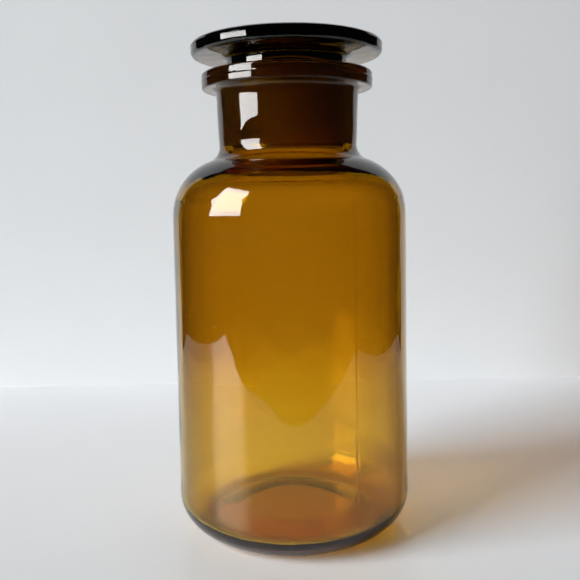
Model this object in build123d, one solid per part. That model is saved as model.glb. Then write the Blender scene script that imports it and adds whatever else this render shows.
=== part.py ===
from build123d import *
from math import cos, radians, tan
import os

# A stoppered jar of amber glass, in two pieces that come apart by hand: a thick-necked jar with a ground
# conical mouth, and a hollow ground stopper with a wide flat head that seats in it. Millimetres, +Z up,
# origin at the centre of the foot. Both pieces are round about Z, so each is a half-outline swept a full turn.

# --- driving dimensions of the jar ---
body_radius = 69.0  # outside of the straight wall
body_wall = 4.2  # shoulder, and the straight wall just below it
lower_wall = 3.0  # straight wall just above the heel, where blowing leaves it thinner
heel_radius = 21.0  # outside round between the wall and the foot
foot_ring_width = 3.0  # flat ring that the jar stands on, just inside the heel round
foot_lip_radius = 4.0  # round between the foot ring and the push-up
push_up_depth = 4.0  # how far the underside is pushed up inside the foot ring
push_up_slope_width = 14.0  # how far in from the foot ring the push-up reaches its full depth
push_up_round = 36.0
floor_height = 8.0  # lowest ring of the inside floor, above the surface that the jar stands on
floor_corner_radius = 12.0  # inside round between the floor and the wall
floor_rise = 2.5  # how much higher the floor is at the centre
floor_slope_start = 3.0  # from the end of the inside round to the start of the rise
floor_slope_width = 16.0
floor_round = 36.0
shoulder_corner_height = 207.6  # where the wall and shoulder lines would cross
shoulder_slope = 20.4  # degrees above level
inner_shoulder_slope = 15.0  # degrees; flatter than the outside, so the glass thickens towards the neck
shoulder_radius = 34.5  # outside round between the wall and the shoulder
inner_shoulder_radius = 24.0
neck_foot_radius = 40.5  # outside of the neck where it meets the shoulder line
neck_fillet_radius = 8.7  # outside sweep from the shoulder into the neck
neck_top_radius = 42.0  # outside of the neck under the flange
throat_radius = 16.0  # inside round between the shoulder and the ground bore
flange_height = 257.0  # underside of the flange above the foot
flange_thickness = 9.3
flange_radius = 50.2
flange_top_round = 1.4
flange_bottom_round = 1.2
flange_fillet_radius = 2.6  # sweep from the flange into the neck
mouth_radius = 34.6  # ground bore at the top face of the flange
mouth_round = 1.0  # round between the bore and the top face

# --- the ground joint, shared by both pieces ---
joint_taper = 0.05  # radius lost for each millimetre down the joint, a 1:10 taper on the diameter
joint_gap = 0.05  # radial clearance between the ground faces when the stopper is seated

# --- driving dimensions of the stopper ---
plug_depth = 45.0  # how far the plug reaches below the top of the flange
plug_wall = 5.0
plug_rim_round = 1.6  # round on both edges of the plug's open end
head_gap = 9.8  # from the top of the flange to the underside of the head
head_thickness = 8.3
head_radius = 56.0
head_top_round = 3.6
head_bottom_round = 2.4
head_root_round = 3.8  # sweep from the plug into the underside of the head
underside_slope = 2.0  # degrees that the underside of the head rises towards its edge
crown_thickness = 10.5  # solid glass over the hollow
hollow_round = 12.0  # round at the closed end of the hollow

# --- heights and radii that follow from them ---
inner_radius = body_radius - body_wall
lower_inner_radius = body_radius - lower_wall
foot_ring_outer = body_radius - heel_radius
foot_ring_inner = foot_ring_outer - foot_ring_width
push_up_radius = foot_ring_inner - push_up_slope_width
floor_ring_radius = lower_inner_radius - floor_corner_radius - floor_slope_start
floor_centre_radius = floor_ring_radius - floor_slope_width
floor_centre_height = floor_height + floor_rise
mouth_height = flange_height + flange_thickness
plug_bottom_height = mouth_height - plug_depth
head_underside_height = mouth_height + head_gap
head_top_height = head_underside_height + head_thickness
head_root_height = head_underside_height - (head_radius - mouth_radius) * tan(radians(underside_slope))
hollow_top_height = head_top_height - crown_thickness


def bore_radius(height):
    """Radius of the jar's ground bore at a height."""
    return mouth_radius - joint_taper * (mouth_height - height)


def plug_radius(height):
    """Outside radius of the plug at a height, a joint gap inside the bore."""
    return bore_radius(height) - joint_gap


def shoulder_line(radius, inset=0.0):
    """Height of the shoulder's straight line at a radius, inset by a wall measured square to it."""
    slope = radians(shoulder_slope)
    return shoulder_corner_height + (body_radius - radius) * tan(slope) - inset / cos(slope)


def throat_corner():
    """Radius and height of the corner where the inside of the shoulder meets the ground bore."""
    # The bore's radius and the inner shoulder's height are both straight lines, so they cross in one place.
    rise = tan(radians(inner_shoulder_slope))
    start = shoulder_line(inner_radius, body_wall) + (inner_radius - bore_radius(0)) * rise
    height = start / (1 + joint_taper * rise)
    return bore_radius(height), height


def rounded_outline(corners):
    """A closed outline on the XZ plane from (radius, height, round) corners. A round of 0 stays sharp."""
    outline = make_face(Polyline(*[(r, z) for r, z, _ in corners], close=True))
    for r, z, corner_round in corners:
        if corner_round:
            corner = outline.vertices().sort_by_distance((r, z))[0]
            outline = fillet(corner, corner_round)
    return Plane.XZ * outline


def make_jar_body():
    """The jar: under the foot, up the outside, over the mouth, and down the inside to the floor."""
    throat_r, throat_z = throat_corner()
    outline = rounded_outline([
        (0, push_up_depth, 0),
        (push_up_radius, push_up_depth, push_up_round),
        (foot_ring_inner, 0, foot_lip_radius),
        (body_radius, 0, heel_radius),
        (body_radius, shoulder_corner_height, shoulder_radius),
        (neck_foot_radius, shoulder_line(neck_foot_radius), neck_fillet_radius),
        (neck_top_radius, flange_height, flange_fillet_radius),
        (flange_radius, flange_height, flange_bottom_round),
        (flange_radius, mouth_height, flange_top_round),
        (mouth_radius, mouth_height, mouth_round),
        (throat_r, throat_z, throat_radius),
        (inner_radius, shoulder_line(inner_radius, body_wall), inner_shoulder_radius),
        (lower_inner_radius, floor_height, floor_corner_radius),
        (floor_ring_radius, floor_height, floor_round),
        (floor_centre_radius, floor_centre_height, floor_round),
        (0, floor_centre_height, 0),
    ])
    return revolve(outline, Axis.Z)


def make_stopper():
    """The stopper: round the open end of the plug, up to the head and over it, then the hollow's inside."""
    plug_bottom_radius = plug_radius(plug_bottom_height)
    outline = rounded_outline([
        (plug_bottom_radius - plug_wall, plug_bottom_height, plug_rim_round),
        (plug_bottom_radius, plug_bottom_height, plug_rim_round),
        (plug_radius(head_root_height), head_root_height, head_root_round),
        (head_radius, head_underside_height, head_bottom_round),
        (head_radius, head_top_height, head_top_round),
        (0, head_top_height, 0),
        (0, hollow_top_height, 0),
        (plug_radius(hollow_top_height) - plug_wall, hollow_top_height, hollow_round),
    ])
    return revolve(outline, Axis.Z)


os.makedirs("parts", exist_ok=True)
export_step(make_jar_body(), "parts/jar_body.step")
export_step(make_stopper(), "parts/stopper.step")
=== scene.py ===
import bpy
import bmesh
import math
from mathutils import Matrix, Vector, noise


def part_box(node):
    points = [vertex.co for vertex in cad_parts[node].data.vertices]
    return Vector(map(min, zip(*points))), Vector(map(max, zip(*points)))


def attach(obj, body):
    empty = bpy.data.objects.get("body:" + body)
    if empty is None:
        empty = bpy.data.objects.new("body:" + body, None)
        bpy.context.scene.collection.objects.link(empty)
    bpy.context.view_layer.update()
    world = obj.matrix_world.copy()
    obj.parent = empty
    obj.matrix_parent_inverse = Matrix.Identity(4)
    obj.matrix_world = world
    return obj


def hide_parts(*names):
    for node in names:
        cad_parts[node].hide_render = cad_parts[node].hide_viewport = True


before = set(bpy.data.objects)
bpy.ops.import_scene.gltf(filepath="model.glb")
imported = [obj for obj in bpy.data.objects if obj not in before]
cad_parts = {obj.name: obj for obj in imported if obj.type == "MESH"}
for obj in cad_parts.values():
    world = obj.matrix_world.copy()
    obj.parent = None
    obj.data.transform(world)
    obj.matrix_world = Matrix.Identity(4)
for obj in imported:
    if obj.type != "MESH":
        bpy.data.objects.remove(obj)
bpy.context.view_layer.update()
mm = 0.001

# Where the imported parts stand: everything below is measured from these.
jarLow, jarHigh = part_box("jar_body")
stopperLow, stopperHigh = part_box("stopper")


camera = {
    "distance": 0.4378,  # from the jar's axis
    "height": 0.1959,  # above the surface that the jar stands on
    "pitchDown": 4.33,
    "roll": -1.05,
    "lens": 45.54,
    "shiftY": -0.069,
}


def makeCamera():
    data = bpy.data.cameras.new("mainCamera")
    data.lens = camera["lens"]
    data.sensor_width = 36
    data.shift_y = camera["shiftY"]
    data.clip_start = 0.01
    data.clip_end = 50
    made = bpy.data.objects.new("mainCamera", data)
    bpy.context.scene.collection.objects.link(made)
    turn = Matrix.Rotation(math.radians(90 - camera["pitchDown"]), 4, "X")
    roll = Matrix.Rotation(math.radians(camera["roll"]), 4, "Z")
    made.matrix_world = Matrix.Translation((0, -camera["distance"], camera["height"])) @ turn @ roll
    bpy.context.scene.camera = made



def linkMesh(bm, name):
    mesh = bpy.data.meshes.new(name)
    bm.to_mesh(mesh)
    bm.free()
    made = bpy.data.objects.new(name, mesh)
    bpy.context.scene.collection.objects.link(made)
    return made


def extendTo(bm, last, point):
    # one more edge on the end of the outline
    new = bmesh.ops.extrude_vert_indiv(bm, verts=[last])["verts"][0]
    new.co = point
    return new


def latheOutline(corners, arcStep, runLength):
    # Traces a half outline in the XZ plane from (radius, height, round) corners in mm, like a lathe template:
    # straight runs, and arcs spun about their own centres.
    points = [Vector((r * mm, 0, z * mm)) for r, z, _ in corners]
    bm = bmesh.new()
    last = bm.verts.new(points[0])
    for i in range(1, len(points)):
        size = corners[i][2] * mm
        if size == 0:
            last = extendTo(bm, last, points[i])
            continue
        back = (points[i - 1] - points[i]).normalized()
        ahead = (points[i + 1] - points[i]).normalized()
        half = back.angle(ahead) / 2
        centre = points[i] + (back + ahead).normalized() * size / math.sin(half)
        last = extendTo(bm, last, points[i] + back * size / math.tan(half))
        turn = math.pi - 2 * half
        steps = max(3, math.ceil(math.degrees(turn) / arcStep))
        axis = (back.cross(ahead)).normalized()
        spun = bmesh.ops.spin(bm, geom=[last], cent=centre, axis=-axis, angle=turn, steps=steps)
        last = [v for v in spun["geom_last"] if isinstance(v, bmesh.types.BMVert)][0]
    for edge in list(bm.edges):
        cuts = int(edge.calc_length() / (runLength * mm))
        if cuts:
            bmesh.ops.subdivide_edges(bm, edges=[edge], cuts=cuts)
    return bm


def latheSolid(bm, plainSteps, seamAngles, seamWidth, seamSteps):
    # Sweeps the outline a full turn. Each seam angle gets a narrow strip of finer steps, centred on it.
    start = seamAngles[0] - seamWidth / 2
    bmesh.ops.rotate(bm, verts=bm.verts, matrix=Matrix.Rotation(math.radians(start), 3, "Z"))
    geom = bm.verts[:] + bm.edges[:]
    gap = 360 / len(seamAngles)
    strips = ((seamWidth, seamSteps), (gap - seamWidth, plainSteps // len(seamAngles)))
    for angle, steps in strips * len(seamAngles):
        turn = math.radians(angle)
        spun = bmesh.ops.spin(bm, geom=geom, cent=(0, 0, 0), axis=(0, 0, 1), angle=turn, steps=steps)
        geom = spun["geom_last"]
    bmesh.ops.remove_doubles(bm, verts=bm.verts, dist=0.004 * mm)
    bmesh.ops.recalc_face_normals(bm, faces=bm.faces)


def smooth(piece):
    for face in piece.data.polygons:
        face.use_smooth = True


jar = {
    "bodyRadius": jarHigh.x / mm,
    "mouthHeight": jarHigh.z / mm,
    "upperWall": 4.2,
    "lowerWall": 3.0,
    "heelRound": 21.0,
    "ringWidth": 3.0,
    "lipRound": 4.0,
    "pushUp": 4.0,
    "pushUpSlope": 14.0,
    "pushUpRound": 36.0,
    "floorHeight": 8.0,
    "floorCorner": 12.0,
    "floorRise": 2.5,
    "floorSlopeStart": 3.0,
    "floorSlope": 16.0,
    "floorRound": 36.0,
    "shoulderCorner": 58.7,  # below the mouth
    "shoulderSlope": 20.4,
    "shoulderRound": 34.5,
    "neckFootRadius": 40.5,
    "neckFootRound": 8.7,
    "neckTopRadius": 42.0,
    "throatRound": 16.0,
    "innerSlope": 15.0,  # of the shoulder's inside: flatter, so the glass thickens towards the neck
    "innerShoulderRound": 24.0,
    "flangeRadius": 50.2,
    "flangeThickness": 9.3,
    "flangeTopRound": 1.4,
    "flangeBottomRound": 1.2,
    "flangeRoot": 2.6,
    "partingHeight": 4.7,  # crease round the flange, above its underside
    "beadHeight": 0.22,  # of the crease itself
    "partingDraft": 0.30,  # how far each half of the flange's edge leans in from the crease
    "boreRadius": 34.6,
    "boreTaper": 0.05,
    "jointFoot": 225,  # where the ground part of the bore starts
    "mouthRound": 1.0,
    "seamAngles": (-60.5, 119.5),
    "seamWidth": 2.4,
    "seamHeight": 0.26,
    # how far the surfaces drift from true, in mm: long waves, short ripples and the neck's own
    "waveInside": 0.42,
    "waveOutside": 0.10,
    "ripple": 0.22,
    "waveNeck": 0.22,
}


def shoulderLine(radius, inset):
    slope = math.radians(jar["shoulderSlope"])
    corner = jar["mouthHeight"] - jar["shoulderCorner"]
    return corner + (jar["bodyRadius"] - radius) * math.tan(slope) - inset / math.cos(slope)


def boreAt(height):
    return jar["boreRadius"] - jar["boreTaper"] * (jar["mouthHeight"] - height)


def jarCorners():
    body = jar["bodyRadius"]
    mouth = jar["mouthHeight"]
    under = mouth - jar["flangeThickness"]
    ringInner = body - jar["heelRound"] - jar["ringWidth"]
    inner = body - jar["upperWall"]
    lowerInner = body - jar["lowerWall"]
    floorRing = lowerInner - jar["floorCorner"] - jar["floorSlopeStart"]
    floorTop = jar["floorHeight"] + jar["floorRise"]
    rise = math.tan(math.radians(jar["innerSlope"]))
    throatHeight = shoulderLine(inner, jar["upperWall"]) + (inner - boreAt(0)) * rise
    throatHeight /= 1 + jar["boreTaper"] * rise
    flange = jar["flangeRadius"]
    draft = jar["partingDraft"]
    return [
        (0, jar["pushUp"], 0),
        (ringInner - jar["pushUpSlope"], jar["pushUp"], jar["pushUpRound"]),
        (ringInner, 0, jar["lipRound"]),
        (body, 0, jar["heelRound"]),
        (body, mouth - jar["shoulderCorner"], jar["shoulderRound"]),
        (jar["neckFootRadius"], shoulderLine(jar["neckFootRadius"], 0), jar["neckFootRound"]),
        (jar["neckTopRadius"], under, jar["flangeRoot"]),
        (flange - draft, under, jar["flangeBottomRound"]),
        (flange - jar["beadHeight"], under + jar["partingHeight"] - 0.6, 0.1),
        (flange, under + jar["partingHeight"], 0.12),
        (flange - jar["beadHeight"], under + jar["partingHeight"] + 0.6, 0.1),
        (flange - draft, mouth, jar["flangeTopRound"]),
        (jar["boreRadius"], mouth, jar["mouthRound"]),
        (boreAt(throatHeight), throatHeight, jar["throatRound"]),
        (inner, shoulderLine(inner, jar["upperWall"]), jar["innerShoulderRound"]),
        (lowerInner, jar["floorHeight"], jar["floorCorner"]),
        (floorRing, jar["floorHeight"], jar["floorRound"]),
        (floorRing - jar["floorSlope"], floorTop, jar["floorRound"]),
        (0, floorTop, 0),
    ]


def blend(x, low, high):
    # 0 below low, 1 above high, smooth between
    t = min(max((x - low) / (high - low), 0), 1)
    return t * t * (3 - 2 * t)


def jarDrift(vert, outside, height):
    # how far a point of the hand-drawn wall stands off the true outline, in mm
    shoulderTop = jar["mouthHeight"] - jar["shoulderCorner"]
    onBody = blend(height, 14, 34) * (1 - blend(height, shoulderTop - 4, shoulderTop + 12))
    place = vert.co * (1 if outside else -1)
    streak = noise.noise(Vector((place.x * 55, place.y * 55, place.z * 9)))
    swell = noise.noise(place * 16 + Vector((7, 3, 1)))
    wave = 0.55 * streak + 0.75 * swell
    if outside:
        ripple = noise.noise(Vector((place.x * 30, place.y * 30, place.z * 42)))
        amount = jar["waveOutside"] * (wave - 1) + jar["ripple"] * (ripple - 1)
    else:
        amount = jar["waveInside"] * wave
    return amount * onBody, onBody


def makeJar():
    bm = latheOutline(jarCorners(), 5, 2.6)
    latheSolid(bm, 156, jar["seamAngles"], jar["seamWidth"], 8)
    shoulderTop = jar["mouthHeight"] - jar["shoulderCorner"]
    flangeFoot = jar["mouthHeight"] - jar["flangeThickness"]
    for vert in bm.verts:
        radius = math.hypot(vert.co.x, vert.co.y) / mm
        height = vert.co.z / mm
        if radius < 20:
            continue
        outward = Vector((vert.co.x, vert.co.y, 0)).normalized()
        outside = radius > jar["bodyRadius"] - 1.6
        drift, onBody = jarDrift(vert, outside, height)
        vert.co += outward * drift * mm
        onNeck = blend(height, shoulderTop + 6, shoulderTop + 20) * (1 - blend(height, flangeFoot - 5, flangeFoot - 1))
        if radius > 39 and onNeck:
            vert.co += outward * jar["waveNeck"] * (noise.noise(vert.co * 75) - 1) * onNeck * mm
        if outside:
            angle = math.degrees(math.atan2(vert.co.y, vert.co.x))
            for seam in jar["seamAngles"]:
                away = abs((angle - seam + 180) % 360 - 180)
                ridge = max(0, 1 - away / (jar["seamWidth"] / 4))
                vert.co += outward * jar["seamHeight"] * ridge * onBody * mm
            reach = math.hypot(vert.co.x, vert.co.y) / (jar["bodyRadius"] * mm)
            if reach > 1:
                vert.co = Vector((vert.co.x / reach, vert.co.y / reach, vert.co.z))
    made = linkMesh(bm, "amberJar")
    smooth(made)
    return made


stopper = {
    "headRadius": stopperHigh.x / mm,
    "topHeight": stopperHigh.z / mm,
    "bottomHeight": stopperLow.z / mm,
    "headThickness": 8.3,
    "creaseDepth": 2.9,  # of the parting line below the top
    "bottomRound": 2.4,
    "rootRound": 3.8,
    "plugGap": 0.05,  # between the ground faces
    "plugWall": 5.0,
    "rimRound": 1.6,
    "crown": 10.5,
    "hollowRound": 12.0,
    "draft": 0.30,
    "undersideSlope": 2.0,  # degrees that the head's underside rises towards its edge
}


def stopperCorners():
    head = stopper["headRadius"]
    top = stopper["topHeight"]
    under = top - stopper["headThickness"]
    root = under - (head - jar["boreRadius"]) * math.tan(math.radians(stopper["undersideSlope"]))
    bottom = stopper["bottomHeight"]
    hollow = top - stopper["crown"]
    plugFoot = boreAt(bottom) - stopper["plugGap"]
    return [
        (0, hollow, 0),
        (boreAt(hollow) - stopper["plugGap"] - stopper["plugWall"], hollow, stopper["hollowRound"]),
        (plugFoot - stopper["plugWall"], bottom, stopper["rimRound"]),
        (plugFoot, bottom, stopper["rimRound"]),
        (boreAt(root) - stopper["plugGap"], root, stopper["rootRound"]),
        (head - stopper["draft"], under, stopper["bottomRound"]),
        (head - jar["beadHeight"], top - stopper["creaseDepth"] - 0.6, 0.1),
        (head, top - stopper["creaseDepth"], 0.12),
        (head - 0.9, top - 1.2, 2.2),
        (head - 3.4, top, 4.0),
        (0, top, 0),
    ]


def makeStopper():
    bm = latheOutline(stopperCorners(), 6, 2.6)
    latheSolid(bm, 160, (-90,), 2.25, 1)
    made = linkMesh(bm, "amberStopper")
    smooth(made)
    return made


amber = {
    "ior": 1.52,
    # the colours are given: each tint is what one surface lets through, over the volume's own absorption
    "tint": (0.78, 0.53, 0.20),
    "footTintWithPaintedLight": (1.0, 0.80, 0.40),  # near the foot: the glass's tint lightened with painted light, standing in for light that gathers in the lower part of the jar
    "neckTint": (0.56, 0.475, 0.27),
    "stopperTint": (0.93, 0.75, 0.42),
    "tintHeights": (45, 120),  # where the foot's tint with painted light gives way to tint
    "neckHeights": (212, 236),  # and tint to neckTint
    "paintedEdgeShade": 0.55,  # painted shade: share of the tint left where a surface turns away from the viewer, darkening the glass towards its outline
    "jarAbsorbed": (32, 60, 400),  # red, green and blue taken out per metre of glass
    "stopperAbsorbed": (120, 162, 480),
    "polishedRoughness": 0.03,
    "groundRoughness": 0.7,
}


def newMaterial(name):
    material = bpy.data.materials.new(name)
    material.use_nodes = True
    return material, material.node_tree, material.node_tree.nodes["Principled BSDF"]


def addNode(tree, kind, values=(), **settings):
    node = tree.nodes.new(kind)
    for name, value in settings.items():
        setattr(node, name, value)
    for socket, value in values:
        if isinstance(value, bpy.types.NodeSocket):
            tree.links.new(value, node.inputs[socket])
        else:
            node.inputs[socket].default_value = value
    return node


def addMath(tree, operation, first, second=0.0, third=0.0):
    return addNode(tree, "ShaderNodeMath", ((0, first), (1, second), (2, third)), operation=operation).outputs[0]


def addRange(tree, value, low, high, toLow=0.0, toHigh=1.0, **settings):
    ends = (("Value", value), ("From Min", low), ("From Max", high), ("To Min", toLow), ("To Max", toHigh))
    return addNode(tree, "ShaderNodeMapRange", ends, **settings).outputs[0]


def addNoise(tree, place, scale, detail, **more):
    values = [("Vector", place), ("Scale", scale), ("Detail", detail)]
    return addNode(tree, "ShaderNodeTexNoise", values + [(n.capitalize(), v) for n, v in more.items()]).outputs["Fac"]


def newGroup(name, inputs, outputs):
    group = bpy.data.node_groups.new(name, "ShaderNodeTree")
    for socket, kind in inputs:
        group.interface.new_socket(socket, in_out="INPUT", socket_type=kind)
    for socket, kind in outputs:
        group.interface.new_socket(socket, in_out="OUTPUT", socket_type=kind)
    return group, group.nodes.new("NodeGroupInput").outputs, group.nodes.new("NodeGroupOutput").inputs


def groundGlass():
    # The ground joint: a cone between two heights, found from the distance to the axis.
    numbers = ("Radius", "Slope", "Low", "High", "Reach")
    group, given, made = newGroup(
        "groundGlass",
        [("Place", "NodeSocketVector")] + [(n, "NodeSocketFloat") for n in numbers],
        [("Height", "NodeSocketFloat"), ("Roughness", "NodeSocketFloat")],
    )
    place = given["Place"]
    flat = addNode(group, "ShaderNodeVectorMath", ((0, place), (1, (1, 1, 0))), operation="MULTIPLY")
    distance = addNode(group, "ShaderNodeVectorMath", ((0, flat.outputs[0]),), operation="LENGTH").outputs["Value"]
    height = addNode(group, "ShaderNodeSeparateXYZ", ((0, place),)).outputs["Z"]
    cone = addMath(group, "MULTIPLY_ADD", height, given["Slope"], given["Radius"])
    off = addMath(group, "ABSOLUTE", addMath(group, "SUBTRACT", distance, cone))
    near = addMath(group, "LESS_THAN", off, given["Reach"])
    wander = addNoise(group, place, 90.0, 3.0)
    ragged = addMath(group, "MULTIPLY_ADD", wander, 0.003, height)
    above = addRange(group, ragged, given["Low"], addMath(group, "ADD", given["Low"], 0.0012))
    below = addRange(group, height, given["High"], addMath(group, "SUBTRACT", given["High"], 0.0006))
    mask = addMath(group, "MULTIPLY", near, addMath(group, "MULTIPLY", above, below))
    grit = addNoise(group, place, 2600.0, 2.0)
    rings = addNode(group, "ShaderNodeTexNoise", (("Scale", 900.0), ("Detail", 2.0)), noise_dimensions="1D")
    group.links.new(height, rings.inputs["W"])
    worked = addMath(group, "MULTIPLY_ADD", rings.outputs["Fac"], 0.4, grit)
    uneven = addMath(group, "MULTIPLY_ADD", addMath(group, "SUBTRACT", wander, 0.5), 0.5, 1.0)
    group.links.new(addMath(group, "MULTIPLY", mask, worked), made["Height"])
    group.links.new(addMath(group, "MULTIPLY", mask, uneven), made["Roughness"])
    return group


def handledGlass():
    # Polished glass that has been handled: faint smears in the roughness, drawn streaks and a few seeds in the height.
    group, given, made = newGroup(
        "handledGlass",
        [("Place", "NodeSocketVector")],
        [("Height", "NodeSocketFloat"), ("Smear", "NodeSocketFloat")],
    )
    place = given["Place"]
    smears = addNoise(group, place, 22.0, 5.0, distortion=1.2)
    tall = addNode(group, "ShaderNodeVectorMath", ((0, place), (1, (1, 1, 0.12))), operation="MULTIPLY")
    streaks = addNoise(group, tall.outputs[0], 95.0, 2.5)
    cells = addNode(group, "ShaderNodeTexVoronoi", (("Vector", place), ("Scale", 75.0)), feature="F1")
    chance = addNode(group, "ShaderNodeSeparateColor", ((0, cells.outputs["Color"]),)).outputs[0]
    size = addMath(group, "MULTIPLY", addMath(group, "GREATER_THAN", chance, 0.88), 0.045)
    seed = addMath(group, "LESS_THAN", cells.outputs["Distance"], size)
    group.links.new(addMath(group, "MULTIPLY_ADD", seed, 2.0, streaks), made["Height"])
    group.links.new(addRange(group, smears, 0.48, 0.75), made["Smear"])
    return group


def tintAndPaintedFootLight():
    # Tints by height with wandering borders: near the foot a brighter one, painted light standing in for light that
    # gathers in the lower glass, one up the body and a darker one in the neck.
    group, given, made = newGroup("tintAndPaintedFootLight", [("Place", "NodeSocketVector")], [("Color", "NodeSocketColor")])
    cords = addNoise(group, given["Place"], 14.0, 3.0, distortion=0.8)
    height = addNode(group, "ShaderNodeSeparateXYZ", ((0, given["Place"]),)).outputs["Z"]
    wandering = addMath(group, "MULTIPLY_ADD", addMath(group, "SUBTRACT", cords, 0.5), 0.05, height)
    colour = (*amber["footTintWithPaintedLight"], 1)
    for heights, tint in (("tintHeights", "tint"), ("neckHeights", "neckTint")):
        low, high = [h * mm for h in amber[heights]]
        share = addRange(group, wandering, low, high, interpolation_type="SMOOTHSTEP")
        ends = ((0, share), (6, colour), (7, (*amber[tint], 1)))
        colour = addNode(group, "ShaderNodeMix", ends, data_type="RGBA").outputs[2]
    group.links.new(colour, made["Color"])
    return group


def jointPlace(gap, low, high):
    # where the ground cone stands, for the ground glass group, in metres
    radius = boreAt(0) - gap
    return {"Radius": radius * mm, "Slope": jar["boreTaper"], "Low": low * mm, "High": high * mm, "Reach": 0.8 * mm}


def amberGlass(name, joint, absorbed, plainTint=None):
    material, tree, shader = newMaterial(name)
    shader.inputs["Transmission Weight"].default_value = 1
    shader.inputs["IOR"].default_value = amber["ior"]
    place = addNode(tree, "ShaderNodeTexCoord").outputs["Object"]
    ground = addNode(tree, "ShaderNodeGroup", node_tree=glassGroups["ground"])
    handled = addNode(tree, "ShaderNodeGroup", node_tree=glassGroups["handled"])
    tree.links.new(place, ground.inputs["Place"])
    tree.links.new(place, handled.inputs["Place"])
    for socket, value in joint.items():
        ground.inputs[socket].default_value = value
    tint = plainTint
    if tint is None:
        # tints by height, with painted light near the foot
        tintOut = addNode(tree, "ShaderNodeGroup", node_tree=glassGroups["tint"])
        tree.links.new(place, tintOut.inputs["Place"])
        tint = tintOut.outputs["Color"]
    # painted shade: the tint darkens where the surface turns away from the viewer
    turned = addNode(tree, "ShaderNodeLayerWeight", (("Blend", 0.5),)).outputs["Facing"]
    edgeShadeShare = addRange(tree, turned, 0.25, 0.67, 1.0, amber["paintedEdgeShade"])
    seen = addNode(tree, "ShaderNodeVectorMath", ((0, tint), ("Scale", edgeShadeShare)), operation="SCALE")
    tree.links.new(seen.outputs[0], shader.inputs["Base Color"])
    polished = addMath(tree, "MULTIPLY", handled.outputs["Smear"], amber["polishedRoughness"])
    rough = addMath(tree, "MULTIPLY_ADD", ground.outputs["Roughness"], amber["groundRoughness"], polished)
    tree.links.new(rough, shader.inputs["Roughness"])
    fine = (("Height", handled.outputs["Height"]), ("Strength", 0.3), ("Distance", 0.0004))
    drawn = addNode(tree, "ShaderNodeBump", fine).outputs[0]
    coarse = (("Height", ground.outputs["Height"]), ("Strength", 0.8), ("Distance", 0.0003), ("Normal", drawn))
    tree.links.new(addNode(tree, "ShaderNodeBump", coarse).outputs[0], shader.inputs["Normal"])
    density = max(absorbed)
    let = [1 - a / density for a in absorbed]
    volume = addNode(tree, "ShaderNodeVolumeAbsorption", (("Density", density), ("Color", (*let, 1))))
    tree.links.new(volume.outputs["Volume"], tree.nodes["Material Output"].inputs["Volume"])
    return material


studio = {
    "wallDistance": 0.32,  # behind the jar's axis
    "span": 3.0,
    "floorColour": (0.74, 0.763, 0.795),
    "wallColour": (0.67, 0.70, 0.73),
    "roomSeen": 0.62,
    "roomLight": 0.085,
    "roomMirrored": 0.012,  # the room past the table is dark, so the glass mirrors almost nothing there
    "tableEdge": ((-0.6, 0.32), (-0.6, -0.33), (0.54, -0.33), (0.54, 0.32)),  # a rectangle, from back left
    "board": (-0.42, 0.40, 0.75),  # left, right and top of the wall board
    "softboxAzimuth": (47, 81),  # left of the camera, seen from the jar
    "softboxElevation": (4, 46),
    "softboxDistance": 6.0,
    "softboxRadiance": 14.0,
    "softboxColour": (1.0, 0.985, 0.96),
}


def roomSwitch(tree, mirrored, seen, depths=("Glossy Depth",)):
    # A dark studio for what the glass mirrors, a pale one for the camera.
    path = addNode(tree, "ShaderNodeLightPath")
    bounced = path.outputs[depths[0]]
    for depth in depths[1:]:
        bounced = addMath(tree, "ADD", bounced, path.outputs[depth])
    inMirror = addMath(tree, "GREATER_THAN", bounced, 0.5)
    ends = (("Factor", inMirror), (6, (*seen, 1)), (7, (*mirrored, 1)))
    return addNode(tree, "ShaderNodeMix", ends, data_type="RGBA").outputs[2], path


def stagePaint(name, colour, roughness, onTable, oneSided=False):
    material, tree, shader = newMaterial(name)
    place = addNode(tree, "ShaderNodeTexCoord").outputs["Object"]
    shade = addRange(tree, addNoise(tree, place, 9.0, 6.0), 0.0, 1.0, 0.97, 1.02)
    # painted reflection and shade: off the table and the board the paint is nearly black to rays the glass mirrors, to
    # light bounced off other surfaces and, on the backdrop, to rays through the glass, standing in for a dark room;
    # the camera sees it pale
    dark = [c * (1 if onTable else 0.02) for c in colour]
    depths = ("Glossy Depth", "Diffuse Depth") + (("Transmission Depth",) if oneSided else ())
    base = roomSwitch(tree, dark, colour, depths)[0]
    scaled = addNode(tree, "ShaderNodeVectorMath", ((0, base), ("Scale", shade)), operation="SCALE")
    tree.links.new(scaled.outputs[0], shader.inputs["Base Color"])
    shader.inputs["Roughness"].default_value = roughness
    shader.inputs["Specular IOR Level"].default_value = 0.5 if onTable and not oneSided else 0
    if oneSided:
        # not seen from behind, so that it never hides the jar
        facing = addNode(tree, "ShaderNodeNewGeometry")
        clear = addNode(tree, "ShaderNodeBsdfTransparent")
        either = ((0, facing.outputs["Backfacing"]), (1, shader.outputs[0]), (2, clear.outputs[0]))
        mix = addNode(tree, "ShaderNodeMixShader", either)
        tree.links.new(mix.outputs[0], tree.nodes["Material Output"].inputs["Surface"])
    return material


def makeSheet(name, outline, margin, inside, outside):
    # a flat sheet: the part inside the outline, and a wide border round it
    bm = bmesh.new()
    verts = [bm.verts.new(point) for point in outline]
    middle = bm.faces.new(verts)
    ring = bmesh.ops.extrude_edge_only(bm, edges=bm.edges[:])
    for vert in [v for v in ring["geom"] if isinstance(v, bmesh.types.BMVert)]:
        vert.co = margin(vert.co)
    bmesh.ops.recalc_face_normals(bm, faces=bm.faces)
    for face in bm.faces:
        face.material_index = 0 if face == middle else 1
    made = linkMesh(bm, name)
    made.data.materials.append(inside)
    made.data.materials.append(outside)
    return made


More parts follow.
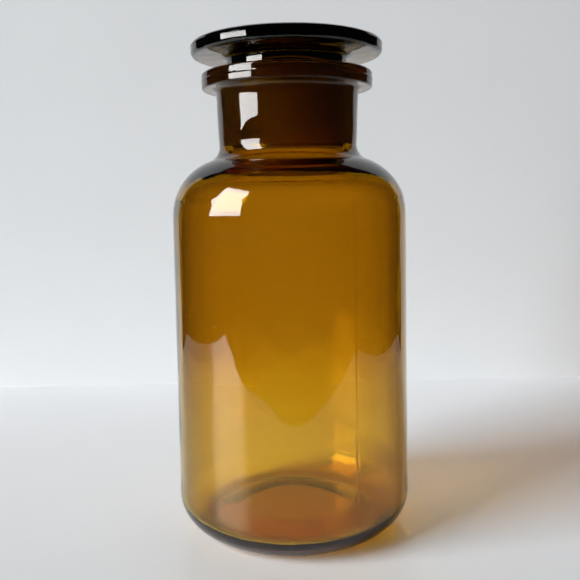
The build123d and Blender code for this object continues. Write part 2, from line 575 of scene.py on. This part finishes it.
def makeStage():
    span = studio["span"]
    back = studio["wallDistance"]
    edge = studio["tableEdge"]

    def spreadFloor(co):
        return Vector((co.x * 6, back if co.y > back - 0.001 else co.y * 9, 0))

    def spreadWall(co):
        return Vector((co.x * 6, back, 0 if co.z < 0.001 else span))

    outline = [Vector((x, y, 0)) for x, y in edge]
    # painted reflection: the border round the table shows dark in the glass and in bounced light
    floor = makeSheet(
        "floor", outline, spreadFloor,
        stagePaint("palePaint", studio["floorColour"], 0.36, True),
        stagePaint("palePaintAwayDarkInMirrors", studio["floorColour"], 0.5, False),
    )
    left, right, top = studio["board"]
    board = [Vector((x, back, z)) for x, z in ((left, 0), (right, 0), (right, top), (left, top))]
    wall = makeSheet(
        "backdrop", board, spreadWall,
        stagePaint("paleWall", studio["wallColour"], 0.8, True, True),
        stagePaint("paleWallAwayDarkInMirrors", studio["wallColour"], 0.8, False, True),
    )
    behind = bmesh.new()
    bmesh.ops.create_grid(behind, x_segments=1, y_segments=1, size=span)
    bmesh.ops.translate(behind, verts=behind.verts, vec=(0, back + span, 0))
    rear = linkMesh(behind, "floorBehind")
    rear.data.materials.append(bpy.data.materials["palePaintAwayDarkInMirrors"])
    up = Vector((0, 0, 1))
    for sheet, facing in ((floor, up), (wall, Vector((0, -1, 0))), (rear, up)):
        if sheet.data.polygons[0].normal.dot(facing) < 0:
            sheet.data.flip_normals()


def makeSoftbox():
    distance = studio["softboxDistance"]
    low, high = [math.radians(a) for a in studio["softboxAzimuth"]]
    bottom, top = [distance * math.tan(math.radians(a)) for a in studio["softboxElevation"]]
    middle = (low + high) / 2
    out = Vector((-math.sin(middle), -math.cos(middle), 0))
    data = bpy.data.lights.new("softbox", "AREA")
    data.shape = "RECTANGLE"
    data.size = 2 * distance * math.tan((high - low) / 2)
    data.size_y = top - bottom
    data.color = studio["softboxColour"]
    data.energy = studio["softboxRadiance"] * math.pi * data.size * data.size_y
    softbox = bpy.data.objects.new("softbox", data)
    bpy.context.scene.collection.objects.link(softbox)
    softbox.location = out * distance + Vector((0, 0, (bottom + top) / 2))
    softbox.rotation_euler = out.to_track_quat("Z", "Y").to_euler()
    softbox.visible_camera = False


def makeRoom():
    world = bpy.data.worlds.new("room")
    bpy.context.scene.world = world
    world.use_nodes = True
    tree = world.node_tree
    sky = tree.nodes["Background"]
    grey = studio["roomMirrored"]
    seen = studio["roomSeen"]
    colour, path = roomSwitch(tree, (grey, grey, grey), (seen, seen, seen))
    soft = studio["roomLight"]
    ends = (("Factor", path.outputs["Is Diffuse Ray"]), (6, colour), (7, (soft, soft, soft * 1.02, 1)))
    mix = addNode(tree, "ShaderNodeMix", ends, data_type="RGBA")
    tree.links.new(mix.outputs[2], sky.inputs["Color"])
    sky.inputs["Strength"].default_value = 1


def setLook():
    scene = bpy.context.scene
    scene.view_settings.view_transform = "Standard"
    scene.cycles.max_bounces = 32
    scene.cycles.transmission_bounces = 24
    scene.cycles.glossy_bounces = 16
    scene.cycles.transparent_max_bounces = 16
    scene.cycles.blur_glossy = 0  # or the light that comes through the glass is smeared


makeCamera()
print("camera set")
glassGroups = {"ground": groundGlass(), "handled": handledGlass(), "tint": tintAndPaintedFootLight()}

jarPiece = makeJar()
boreJoint = jointPlace(0.0, jar["jointFoot"], jar["mouthHeight"] - 0.6)
jarPiece.data.materials.append(amberGlass("amberJarGlass", boreJoint, amber["jarAbsorbed"]))
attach(jarPiece, "jar")
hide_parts("jar_body")
print("jar turned,", len(jarPiece.data.polygons), "faces")

stopperPiece = makeStopper()
plugTop = stopper["topHeight"] - stopper["headThickness"] - 7
plugJoint = jointPlace(stopper["plugGap"], stopper["bottomHeight"] + 1, plugTop)
plugGlass = amberGlass("amberStopperGlass", plugJoint, amber["stopperAbsorbed"], amber["stopperTint"])
stopperPiece.data.materials.append(plugGlass)
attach(stopperPiece, "stopper")
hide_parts("stopper")
print("stopper turned,", len(stopperPiece.data.polygons), "faces")

makeStage()
makeSoftbox()
makeRoom()
setLook()
print("stage and light set")
